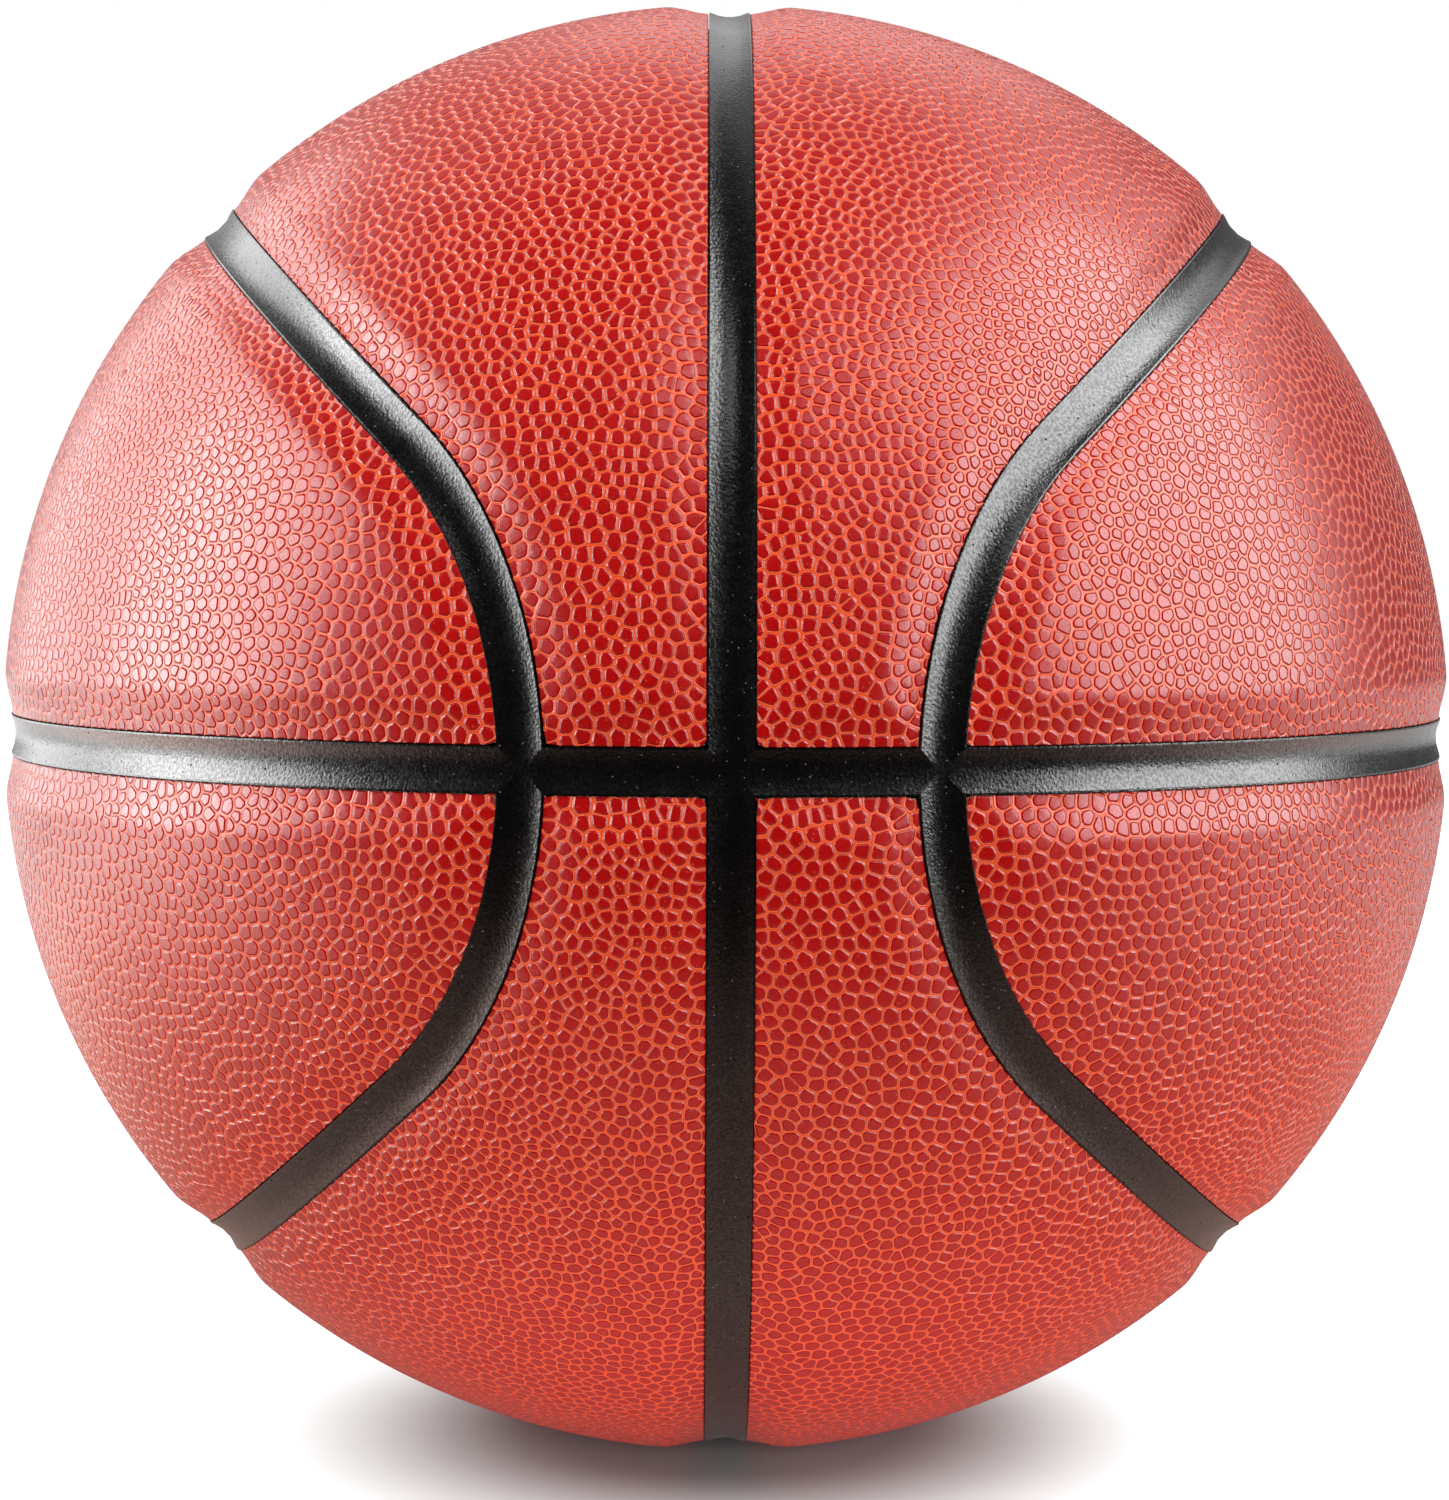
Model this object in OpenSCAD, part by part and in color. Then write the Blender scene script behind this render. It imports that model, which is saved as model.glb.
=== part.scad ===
// Basketball: a butyl bladder wound with nylon thread, a moulded rubber carcass whose raised ribs
// form the channels, sponge pads in the fields between the ribs, and eight cover panels over them.
//
// The origin is the ball's centre and +Z is up. The level channel lies in the plane z = 0 and the
// upright channel in the plane x = 0, so they cross at the front, -Y, and at the back, +Y.
// A loop of channel goes round +X and another round -X. Each loop has two straight sides, which lie
// on planes through the Y axis, and two round ends, which cross the level channel.

/* [Ball] */
// Diameter over the cover panels
ball_d = 240; // [230:1:246]

/* [Layers] */
// Thickness of the cover panels
panel_t = 2; // [1.8:0.1:2.6]
// Thickness of the sponge pads under the cover panels
pad_t = 1.5; // [1:0.1:2.5]
// Thickness of the moulded rubber carcass between its ribs
carcass_t = 1.4; // [1:0.1:2.5]
// Thickness of the layer of wound nylon thread
winding_t = 0.8; // [0.6:0.1:1.5]
// Thickness of the butyl bladder
bladder_t = 1.2; // [0.8:0.1:2]
// Thickness of the glue between one layer and the next
glue_t = 0.2; // [0.2:0.05:0.4]

/* [Channels] */
// Tilt of a loop's sides from the level channel, in degrees
loop_tilt = 45; // [42:0.5:48]
// Radius of a loop's round ends, as an angle at the ball's centre, in degrees
loop_end_r = 28.3; // [26:0.1:31]
// Width of a rib, which is the width of the channel that shows
channel_w = 6.4; // [5.5:0.1:8]
// Width of the flat lip on each side of a rib's hollow
lip_w = 0.25; // [0.2:0.05:0.5]
// How far the lips stand above the edges of the panels beside them
lip_rise = 0.15; // [0.05:0.05:0.4]
// Depth of the hollow along the middle of a rib, below its lips
hollow_depth = 0.65; // [0.4:0.05:1]
// Step where one channel crosses or meets another, which keeps their faces from being tangent
lap = 0.02; // [0.01:0.01:0.05]

/* [Panel edges] */
// Thickness that a panel's edge is pared down to
panel_edge_t = 0.55; // [0.4:0.05:0.8]
// Width of the shoulder that rolls from a panel's edge up to its crown
shoulder_w = 7.3; // [6:0.1:9]
// Angle between the shoulder and the crown where they meet, in degrees
crown_crease = 3; // [2:0.5:5]
// Gap between a panel's edge and the rib beside it
panel_gap = 0.2; // [0.15:0.05:0.4]
// Gap between a pad's edge and the rib beside it
pad_gap = 0.4; // [0.3:0.05:0.8]

/* [Valve] */
// Direction of the valve round the ball, from +X towards +Y, in degrees
valve_azimuth = 82; // [81:0.5:84]
// Height of the valve above the level channel, in degrees
valve_height = 12; // [11:0.5:15]
// How far the valve's mouth lies below the panel
valve_sink = 0.8; // [0.5:0.1:1.2]
// Outer diameter of the housing's neck
neck_d = 9; // [8.6:0.1:11]
// Length of the housing's neck, from its mouth inwards
neck_len = 19.5; // [18.5:0.5:24]
// Diameter of the housing's flange, which is bonded to the inside of the bladder
flange_d = 28; // [22:1:34]
// Thickness of the flange
flange_t = 1.6; // [1:0.1:2.5]
// Gap between the neck and the layers that it passes through
neck_gap = 0.2; // [0.15:0.05:0.4]
// Diameter of the valve core's stem
core_d = 6; // [5.4:0.1:6.4]
// Length of the valve core, with its head and its foot
core_len = 16; // [14:0.5:17]
// How far the core's head and foot stand out past its stem
core_collar = 0.6; // [0.4:0.1:0.8]
// Thickness of the core's head
head_t = 1.5; // [1:0.1:2.5]
// Thickness of the core's foot, which holds it in the housing
foot_t = 2; // [1.5:0.1:3]
// Gap between the core and its pocket in the housing
core_gap = 0.1; // [0.08:0.01:0.2]
// Diameter of the guide hole for an inflating needle
needle_d = 2; // [1.8:0.1:2.4]
// Depth of the guide hole; below it the core has only a slit, which is closed at rest
needle_depth = 9; // [6:0.5:11]
// Width of the funnel that leads into the guide hole
funnel_w = 0.6; // [0.3:0.1:0.8]
// Diameter of the air hole through the bottom of the housing
air_hole_d = 2.4; // [1.6:0.1:3.2]

/* [Hidden] */
$fn = 160;

SIDES = ["right", "left"];
HALVES = ["upper", "lower"];
PATCHES = [for (side = SIDES, half = HALVES) str(side, "_", half)];
// The valve passes through the band of this field
VALVE_PATCH = "right_upper";

LEATHER = "#c8552e";
BLACK_RUBBER = "#1d1b1c";
SPONGE = "#e6ddc8";
NYLON = "#f2efe6";
BUTYL = "#3a393b";
VALVE_RUBBER = "#55504c";

// Radii of each layer's two faces, from the outside inwards
ball_r = ball_d / 2;
panel_in = ball_r - panel_t;
pad_out = panel_in - glue_t;
pad_in = pad_out - pad_t;
carcass_out = pad_in - glue_t;
carcass_in = carcass_out - carcass_t;
winding_out = carcass_in - glue_t;
winding_in = winding_out - winding_t;
bladder_out = winding_in - glue_t;
bladder_in = bladder_out - bladder_t;

// How far a cut runs past the face that it opens, and what each further cut of one piece adds, so
// that no two cuts share a face
margin = 1;
stagger = 0.5;

// Where a loop's round end has its centre, as an angle from the X axis
loop_end_at = acos(sin(loop_end_r) / sin(loop_tilt));
// Half the turn of a loop's side, about the side's own axis
side_half = atan2(sin(loop_end_at), cos(loop_end_at) * cos(loop_tilt));
// Half the turn of a loop's round end, about the end's own axis
end_half = atan2(cos(loop_tilt), sin(loop_tilt) * sin(loop_end_at));
// How far a side runs on inside the round end, in degrees
side_overrun = 0.3;

// A rib starts inside the carcass, and one that crosses it starts deeper
rib_foot = carcass_out - carcass_t / 3;
crossing_foot = carcass_out - 2 * carcass_t / 3;
rib_lip = panel_in + panel_edge_t + lip_rise;
hollow_w = channel_w - 2 * lip_w;
hollow_r = (pow(hollow_w / 2, 2) + pow(hollow_depth, 2)) / (2 * hollow_depth);
hollow_at = rib_lip - hollow_depth + hollow_r;

// The shoulder is an arc from the panel's pared edge to its crown. Across a channel, x is the
// distance from the ball's centre and y the distance from the channel's middle plane.
edge_y = channel_w / 2 + panel_gap;
edge_x = sqrt(pow(panel_in + panel_edge_t, 2) - pow(edge_y, 2));
crown_y = edge_y + shoulder_w;
crown_x = sqrt(pow(ball_r, 2) - pow(crown_y, 2));
shoulder_chord = norm([crown_x - edge_x, crown_y - edge_y]);
chord_slope = atan2(crown_x - edge_x, crown_y - edge_y);
crown_slope = crown_crease - asin(crown_y / ball_r);
shoulder_r = shoulder_chord / (2 * sin(chord_slope - crown_slope));
shoulder_at = [crown_x, crown_y] - shoulder_r * [cos(crown_slope), -sin(crown_slope)];
// Past the crown the arc stands clear of the ball, and the cut ends there
shoulder_end = crown_y + shoulder_r * sin(crown_crease);
pad_edge_y = channel_w / 2 + pad_gap;

// How far a cut spreads to the side of a channel that it clears, in degrees
near_spread = 3;
far_spread = 55;
// Within a loop's round end the cut stops just short of the end's axis
end_spread = loop_end_r - 1;

// The valve's own radii and heights, along its axis from the ball's centre
mouth_z = ball_r - valve_sink;
neck_r = neck_d / 2;
neck_end = mouth_z - neck_len;
neck_hole_r = neck_r + neck_gap;
flange_out = bladder_in - glue_t;
flange_in = flange_out - flange_t;
core_r = core_d / 2;
core_end = mouth_z - core_len;
pocket_r = core_r + core_gap;
needle_r = needle_d / 2;

// Sweeps of a section that is drawn round the x axis, where +y faces up, to +X or out of the loop
module level_sweep() {
    rotate_extrude() children();
}

module upright_sweep() {
    rotate([0, 90, 0]) rotate_extrude() children();
}

module side_sweep() {
    rotate([0, -loop_tilt, 0])
        rotate([0, 0, -side_half - side_overrun])
            rotate_extrude(angle = 2 * (side_half + side_overrun)) children();
}

module end_sweep() {
    rotate([-90, 0, -90 - loop_end_at])
        rotate([0, 0, -end_half])
            rotate_extrude(angle = 2 * end_half)
                rotate(90 - loop_end_r) mirror([0, 1, 0]) children();
}

// The whole net of channels: the first section goes along the level channel and the loops' sides,
// and the second along the upright channel and the loops' round ends
module channel_net() {
    level_sweep() children(0);
    upright_sweep() children(1);
    for (turn = [0, 180]) rotate([0, 0, turn]) {
        for (under = [0, 1]) mirror([0, 0, under]) side_sweep() children(0);
        for (back = [0, 1]) mirror([0, back, 0]) end_sweep() children(1);
    }
}

// Section across a rib from its foot to its lips, and across its hollow, both grown by an amount
module rib_section(foot, grow) {
    half_w = channel_w / 2 + grow;
    translate([foot, -half_w]) square([rib_lip + grow - foot, 2 * half_w]);
}

module hollow_section(grow) {
    depth = hollow_depth + margin;
    intersection() {
        translate([hollow_at, 0]) circle(hollow_r + grow);
        translate([rib_lip - depth, -channel_w]) square([depth + stagger + grow, 2 * channel_w]);
    }
}

// Section of the clearance beside a channel: all of its far side, from -y up to near_edge
module clearance_section(inner, outer, spread, near_edge) {
    reach = outer / cos(spread / 2);
    polygon([
        [inner, near_edge],
        inner * [cos(spread), -sin(spread)],
        reach * [cos(spread), -sin(spread)],
        [reach, 0],
        [reach, near_edge]
    ]);
}

// What a channel clears of a pad and of a cover panel, past their faces by the given amount
module pad_cut(spread, past) {
    clearance_section(pad_in - past, pad_out + past, spread, pad_edge_y);
}

module panel_cut(spread, past) {
    difference() {
        clearance_section(panel_in - past, ball_r + past, spread, shoulder_end);
        intersection() {
            translate(shoulder_at) circle(shoulder_r);
            translate([panel_in - 2 * past, edge_y]) square(2 * past + shoulder_end);
        }
    }
}

// A quarter of a layer of the ball's wall, right of the upright channel and above the level one
module quarter_wall(inner, outer) {
    rotate([0, 0, -90]) rotate_extrude(angle = 180) intersection() {
        difference() {
            circle(outer);
            circle(inner);
        }
        square(outer + margin);
    }
}

// One field between the channels. The field within a loop lies on the -y side of the loop's
// section, and the band outside it on the +y side. The four sections clear the level channel, the
// upright channel, and the far sides of a loop's side and of its round ends.
module field(inner, outer, within_loop) {
    flip = within_loop ? 1 : 0;
    difference() {
        difference() {
            quarter_wall(inner, outer);
            side_sweep() mirror([0, flip, 0]) children(2);
            for (back = [0, 1]) mirror([0, back, 0])
                end_sweep() mirror([0, flip, 0]) translate([-lap, lap]) children(3);
        }
        level_sweep() children(0);
        upright_sweep() children(1);
    }
}

// Moves a piece from the right upper field to the field of that side and half
module in_place(side, half) {
    mirror([side == "left" ? 1 : 0, 0, 0]) mirror([0, 0, half == "lower" ? 1 : 0]) children();
}

// Turns the z axis to the valve's direction
module at_valve() {
    rotate([0, 90 - valve_height, valve_azimuth]) children();
}

module neck_hole() {
    at_valve() translate([0, 0, neck_end]) cylinder(r = neck_hole_r, h = ball_r + margin - neck_end);
}

// A hollow layer that goes all the way round the ball, with the neck's hole
module round_layer(inner, outer) {
    difference() {
        sphere(outer);
        sphere(inner);
        neck_hole();
    }
}

module bladder() {
    color(BUTYL) round_layer(bladder_in, bladder_out);
}

module thread_winding() {
    color(NYLON) round_layer(winding_in, winding_out);
}

module carcass() {
    color(BLACK_RUBBER) difference() {
        union() {
            sphere(carcass_out);
            channel_net() {
                rib_section(rib_foot, 0);
                rib_section(crossing_foot, lap);
            }
        }
        channel_net() {
            hollow_section(0);
            hollow_section(lap);
        }
        sphere(carcass_in);
        neck_hole();
    }
}

// Half of the housing's section: a neck with the core's pocket, and a flange that follows the bladder
module housing_section() {
    difference() {
        union() {
            translate([0, neck_end]) square([neck_r, neck_len]);
            intersection() {
                difference() {
                    circle(flange_out);
                    circle(flange_in);
                }
                square([flange_d / 2, ball_r]);
            }
        }
        translate([0, core_end - core_gap]) square([pocket_r, core_len + margin]);
        translate([0, core_end - core_gap])
            square([pocket_r + core_collar, foot_t + 2 * core_gap]);
        translate([0, mouth_z - head_t - core_gap])
            square([pocket_r + core_collar, head_t + margin]);
        translate([0, neck_end - margin]) square([air_hole_d / 2, neck_len]);
    }
}

module valve_housing() {
    color(VALVE_RUBBER) at_valve() rotate_extrude() housing_section();
}

// The self-sealing core: a stem between a head and a foot, with the needle's guide hole
module valve_core() {
    color(BLACK_RUBBER) at_valve() difference() {
        union() {
            translate([0, 0, core_end]) cylinder(r = core_r, h = core_len);
            translate([0, 0, core_end]) cylinder(r = core_r + core_collar, h = foot_t);
            translate([0, 0, mouth_z - head_t]) cylinder(r = core_r + core_collar, h = head_t);
        }
        translate([0, 0, mouth_z - needle_depth]) cylinder(r = needle_r, h = needle_depth + margin);
        translate([0, 0, mouth_z - funnel_w])
            cylinder(r1 = needle_r, r2 = needle_r + 2 * funnel_w, h = 2 * funnel_w);
    }
}

module oval_pad() {
    color(SPONGE) field(pad_in, pad_out, true) {
        pad_cut(near_spread, margin);
        pad_cut(near_spread, margin + stagger);
        pad_cut(far_spread, margin);
        pad_cut(far_spread, margin + stagger);
    }
}

module band_pad(has_valve) {
    color(SPONGE) difference() {
        field(pad_in, pad_out, false) {
            pad_cut(near_spread, margin);
            pad_cut(near_spread, margin + stagger);
            pad_cut(far_spread, margin);
            pad_cut(end_spread, margin + stagger);
        }
        if (has_valve) neck_hole();
    }
}

module oval_panel() {
    color(LEATHER) field(panel_in, ball_r, true) {
        panel_cut(near_spread, margin);
        panel_cut(near_spread, margin + stagger);
        panel_cut(far_spread, margin);
        panel_cut(far_spread, margin + stagger);
    }
}

module band_panel(has_valve) {
    color(LEATHER) difference() {
        field(panel_in, ball_r, false) {
            panel_cut(near_spread, margin);
            panel_cut(near_spread, margin + stagger);
            panel_cut(far_spread, margin);
            panel_cut(end_spread, margin + stagger);
        }
        if (has_valve) neck_hole();
    }
}

bladder();
valve_housing();
valve_core();
thread_winding();
carcass();
for (side = SIDES, half = HALVES) {
    patch = str(side, "_", half);
    has_valve = patch == VALVE_PATCH;
    in_place(side, half) oval_pad();
    in_place(side, half) band_pad(has_valve);
    in_place(side, half) oval_panel();
    in_place(side, half) band_panel(has_valve);
}
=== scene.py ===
"""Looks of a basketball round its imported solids: pebbled cover panels, channel rubber, the layers
under them, and a plain studio stage. It is laid out as an add-on and run as a script."""

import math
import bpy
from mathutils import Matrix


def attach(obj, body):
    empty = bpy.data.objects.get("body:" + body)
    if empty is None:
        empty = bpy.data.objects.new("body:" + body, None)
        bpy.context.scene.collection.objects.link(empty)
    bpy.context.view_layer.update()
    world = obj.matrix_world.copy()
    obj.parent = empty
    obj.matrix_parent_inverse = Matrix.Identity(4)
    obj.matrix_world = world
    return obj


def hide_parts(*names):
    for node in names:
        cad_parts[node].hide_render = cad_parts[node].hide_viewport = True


bl_info = {
    "name": "Basketball looks",
    "version": (1, 0, 0),
    "blender": (4, 5, 0),
    "location": "View3D > Sidebar > Ball",
    "description": "Dresses the packed solids of a basketball and sets a studio stage round it",
    "category": "Object",
}

import bmesh
import bpy
import numpy as np
from mathutils import Matrix, Vector

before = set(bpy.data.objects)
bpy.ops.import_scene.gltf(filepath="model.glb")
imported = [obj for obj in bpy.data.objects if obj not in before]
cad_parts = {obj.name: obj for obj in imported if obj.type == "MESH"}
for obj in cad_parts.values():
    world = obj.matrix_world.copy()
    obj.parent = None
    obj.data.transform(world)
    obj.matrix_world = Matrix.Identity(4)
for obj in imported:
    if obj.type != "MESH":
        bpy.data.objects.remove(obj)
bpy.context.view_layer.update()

MM = 0.001
PATCHES = [f"{side}_{half}" for side in ("right", "left") for half in ("upper", "lower")]
KINDS = ("oval", "band")


def points_of(mesh):
    """The places of a mesh's points, one row each."""
    points = np.empty(len(mesh.vertices) * 3)
    mesh.vertices.foreach_get("co", points)
    return points.reshape(-1, 3)


def reach(node):
    """The least and the greatest distance of a CAD node's surface from the ball's centre."""
    far = np.linalg.norm(points_of(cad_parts[node].data), axis=1)
    return float(far.min()), float(far.max())


COVER_IN, COVER_OUT = reach("oval_panel_right_upper")


def hex_colour(code):
    """A linear colour with alpha from an sRGB hex code."""
    parts = [int(code[i : i + 2], 16) / 255 for i in (1, 3, 5)]
    return [p / 12.92 if p <= 0.04045 else ((p + 0.055) / 1.055) ** 2.4 for p in parts] + [1.0]


def length_prop(name, description, default):
    return bpy.props.FloatProperty(
        name=name, description=description, default=default, unit="LENGTH", precision=5
    )


def angle_prop(name, description, degrees):
    return bpy.props.FloatProperty(
        name=name, description=description, default=math.radians(degrees), subtype="ANGLE"
    )


def colour_prop(name, description, code):
    return bpy.props.FloatVectorProperty(
        name=name, description=description, default=hex_colour(code), size=4,
        subtype="COLOR", min=0, max=1,
    )


class BallSizes(bpy.types.PropertyGroup):
    """Where the channels run, and the radii of the outer layers."""

    ball_r: length_prop("Ball radius", "From the centre to the crown of a panel", COVER_OUT)
    cover_in: length_prop("Cover underside", "Radius of the panels' underside", COVER_IN)
    loop_tilt: angle_prop("Loop tilt", "Tilt of a loop's sides from the level channel", 45)
    loop_end_r: angle_prop("Loop end radius", "Radius of a loop's round ends, from the centre", 28.3)
    edge_at: length_prop("Panel edge", "From a channel's middle to the panel's edge", 3.4 * MM)
    crown_at: length_prop("Panel crown", "From a channel's middle to the shoulder's end", 10.7 * MM)
    corner_r: length_prop("Corner radius", "Radius of a panel's corners at a crossing", 1.1 * MM)
    edge_drop: length_prop("Edge drop", "How far the panel's edge lies below its crown", 1.45 * MM)
    valve_azimuth: angle_prop("Valve azimuth", "Direction of the valve, from +X towards +Y", 82)
    valve_height: angle_prop("Valve height", "Height of the valve above the level channel", 12)
    valve_hole_r: length_prop("Valve hole", "Radius of the hole for the valve's neck", 4.7 * MM)


class PebbleSizes(bpy.types.PropertyGroup):
    """The grain that is embossed in the cover panels."""

    shake: length_prop("Shake", "How far the pebbles' centres are shaken out of their grid", 1.1 * MM)
    relief: length_prop("Relief", "How far the valleys lie below the panel's crown", 0.1 * MM)
    valley: length_prop("Half valley", "From a valley's middle to the top of a pebble", 0.27 * MM)
    dome: length_prop("Dome", "How far a pebble's middle stands above its rim", 0.008 * MM)
    easing: bpy.props.FloatProperty(
        name="Easing", description="How far the shaken grid is evened out, from 0 to 1",
        default=0.7, min=0, max=1,
    )
    seed: bpy.props.IntProperty(name="Seed", description="Start of the random draws", default=7)


class FinishColours(bpy.types.PropertyGroup):
    """The colours of the finishes."""

    pebble: colour_prop("Pebble", "Tops of the pebbles", "#a30404")
    pebble_light: colour_prop("Lighter pebble", "The lightest of the pebbles' tops", "#b20a08")
    # A pale band painted round each pebble's shoulder as a highlight; the scuff spots on the tops take
    # the same colour
    pebble_highlight_and_scuff: colour_prop("Pebble edge", "Rubbed edges of the pebbles", "#ff7a58")
    valley: colour_prop("Valley", "Valleys between the pebbles", "#e9501d")
    # Painted shade: the darker bottom of the narrow valleys
    valley_crease_shade: colour_prop("Valley line", "Bottom of the narrow valleys", "#cf3f16")
    backing: colour_prop("Backing", "Cloth on the underside of the panels", "#b98a63")
    channel: colour_prop("Channel rubber", "Rubber of the channels", "#080707")
    nylon: colour_prop("Nylon", "Thread wound round the bladder", "#f2efe6")
    sponge: colour_prop("Sponge", "Pads under the panels", "#e6ddc8")
    butyl: colour_prop("Butyl", "Bladder", "#3a393b")
    housing: colour_prop("Housing", "Rubber of the valve housing", "#55504c")
    floor: colour_prop("Floor", "Floor of the stage", "#fafafa")
    # Painted shadow: for camera rays the floor turns to these darker greys near and right under the
    # ball; the blue-green one also takes out the ball's red light
    floor_painted_shadow: colour_prop("Floor near the ball", "Floor in the ball's shadow", "#b4c8c8")
    floor_painted_contact_shadow: colour_prop("Floor at the contact", "Floor right under the ball", "#bcb8b8")
    floor_lit: colour_prop("Light off the floor", "Floor near the ball, reddened by it", "#ffd2c4")


class StageSizes(bpy.types.PropertyGroup):
    """The camera and the floor."""

    distance: length_prop("Camera distance", "From the ball's centre to the camera", 0.54)
    azimuth: angle_prop("Camera azimuth", "Turn of the camera round the ball", -0.38)
    elevation: angle_prop("Camera elevation", "Height of the camera above the level channel", 2.92)
    roll: angle_prop("Camera roll", "Turn of the camera about its view", 0.2)
    lens: bpy.props.FloatProperty(name="Lens", description="Focal length, in mm", default=76.1)
    floor_at: length_prop("Floor height", "Height of the floor", -119.55 * MM)


def sizes():
    return bpy.context.scene.ball_sizes


def colours():
    return bpy.context.scene.ball_colours


def shade(colour, share):
    """A colour at that share of its strength, with full alpha."""
    return [c * share for c in colour[:3]] + [1.0]


def smooth_step(x):
    x = np.clip(x, 0, 1)
    return x * x * (3 - 2 * x)


def unit(rows):
    return rows / np.linalg.norm(rows, axis=-1, keepdims=True)


class ChannelMap:
    """Where the channels' middle lines lie. A loop has two sides on great circles, which are tilted
    about the Y axis, and two round ends on small circles, which are centred on the level channel."""

    def __init__(self, ball):
        self.r = ball.ball_r
        self.tilt, self.end_r = ball.loop_tilt, ball.loop_end_r
        self.end_at = math.acos(math.sin(self.end_r) / math.sin(self.tilt))
        self.side_half = math.atan2(
            math.sin(self.end_at), math.cos(self.end_at) * math.cos(self.tilt)
        )

    def side_normal(self, x=1, z=1):
        return np.array([x * math.sin(self.tilt), 0, -z * math.cos(self.tilt)])

    def end_axis(self, x=1, y=1):
        return np.array([x * math.cos(self.end_at), y * math.sin(self.end_at), 0])

    def at_end(self, ways):
        """Which directions lie past the side's end, where the loop's round end is nearer."""
        a = np.abs(ways)
        along = a[:, 0] * math.cos(self.tilt) + a[:, 2] * math.sin(self.tilt)
        return np.arctan2(a[:, 1], along) > self.side_half

    def distances(self, ways):
        """Distance along the ball to the level, the upright and the loop channel for each unit
        direction. The last one is positive within a loop."""
        a = np.abs(ways)
        to_side = np.arcsin(np.clip(a @ self.side_normal(), -1, 1))
        to_end = self.end_r - np.arccos(np.clip(a @ self.end_axis(), -1, 1))
        loop = np.where(self.at_end(ways), to_end, to_side)
        return np.stack([np.arcsin(a[:, 2]), np.arcsin(a[:, 0]), loop]) * self.r


def plain_start():
    """Leaves edit mode and selects nothing."""
    if bpy.context.mode != "OBJECT":
        bpy.ops.object.mode_set(mode="OBJECT")
    bpy.ops.object.select_all(action="DESELECT")


def only(piece):
    plain_start()
    piece.select_set(True)
    bpy.context.view_layer.objects.active = piece


def set_points(mesh, points):
    mesh.vertices.foreach_set("co", np.asarray(points, np.float32).ravel())
    mesh.update()


def face_centres(mesh):
    centres = np.empty(len(mesh.polygons) * 3)
    mesh.polygons.foreach_get("center", centres)
    return unit(centres.reshape(-1, 3))


def face_normals(mesh):
    normals = np.empty(len(mesh.polygons) * 3)
    mesh.polygons.foreach_get("normal", normals)
    return unit(normals.reshape(-1, 3))


def edit_faces(piece, chosen, edit, **settings):
    """Selects the chosen faces of a piece and calls one edit-mode operator on them."""
    only(piece)
    mesh = piece.data
    mesh.vertices.foreach_set("select", np.zeros(len(mesh.vertices), bool))
    mesh.edges.foreach_set("select", np.zeros(len(mesh.edges), bool))
    mesh.polygons.foreach_set("select", np.asarray(chosen, bool))
    bpy.context.scene.tool_settings.mesh_select_mode = (False, False, True)
    bpy.ops.object.mode_set(mode="EDIT")
    edit(**settings)
    bpy.ops.object.mode_set(mode="OBJECT")


# How often the first grid is divided: it gets 40,962 points, and each becomes a cell
GRID_LEVEL = 7
# How far the points of the shaken grid move in its first easing, from 0 to 1
FIRST_EASING = 0.4
# The least that a triangle of the eased grid may face outwards, as a cosine
LEAST_FACING = 0.9


def ease(mesh, ways, share):
    """Moves each point towards the mean of its triangles' middles, weighted with their areas."""
    points = points_of(mesh)
    far = np.linalg.norm(points, axis=1).mean()
    corner, area = np.empty(len(mesh.loops), int), np.empty(len(mesh.polygons))
    mesh.loops.foreach_get("vertex_index", corner)
    mesh.polygons.foreach_get("area", area)
    weight = np.repeat(area, 3)
    total = np.bincount(corner, weight, len(points))
    sums = [np.bincount(corner, weight * np.repeat(ways[:, k], 3), len(points)) for k in range(3)]
    middle = np.stack(sums, axis=1) / total[:, None]
    set_points(mesh, unit(unit(points) * (1 - share) + middle * share) * far)


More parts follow.
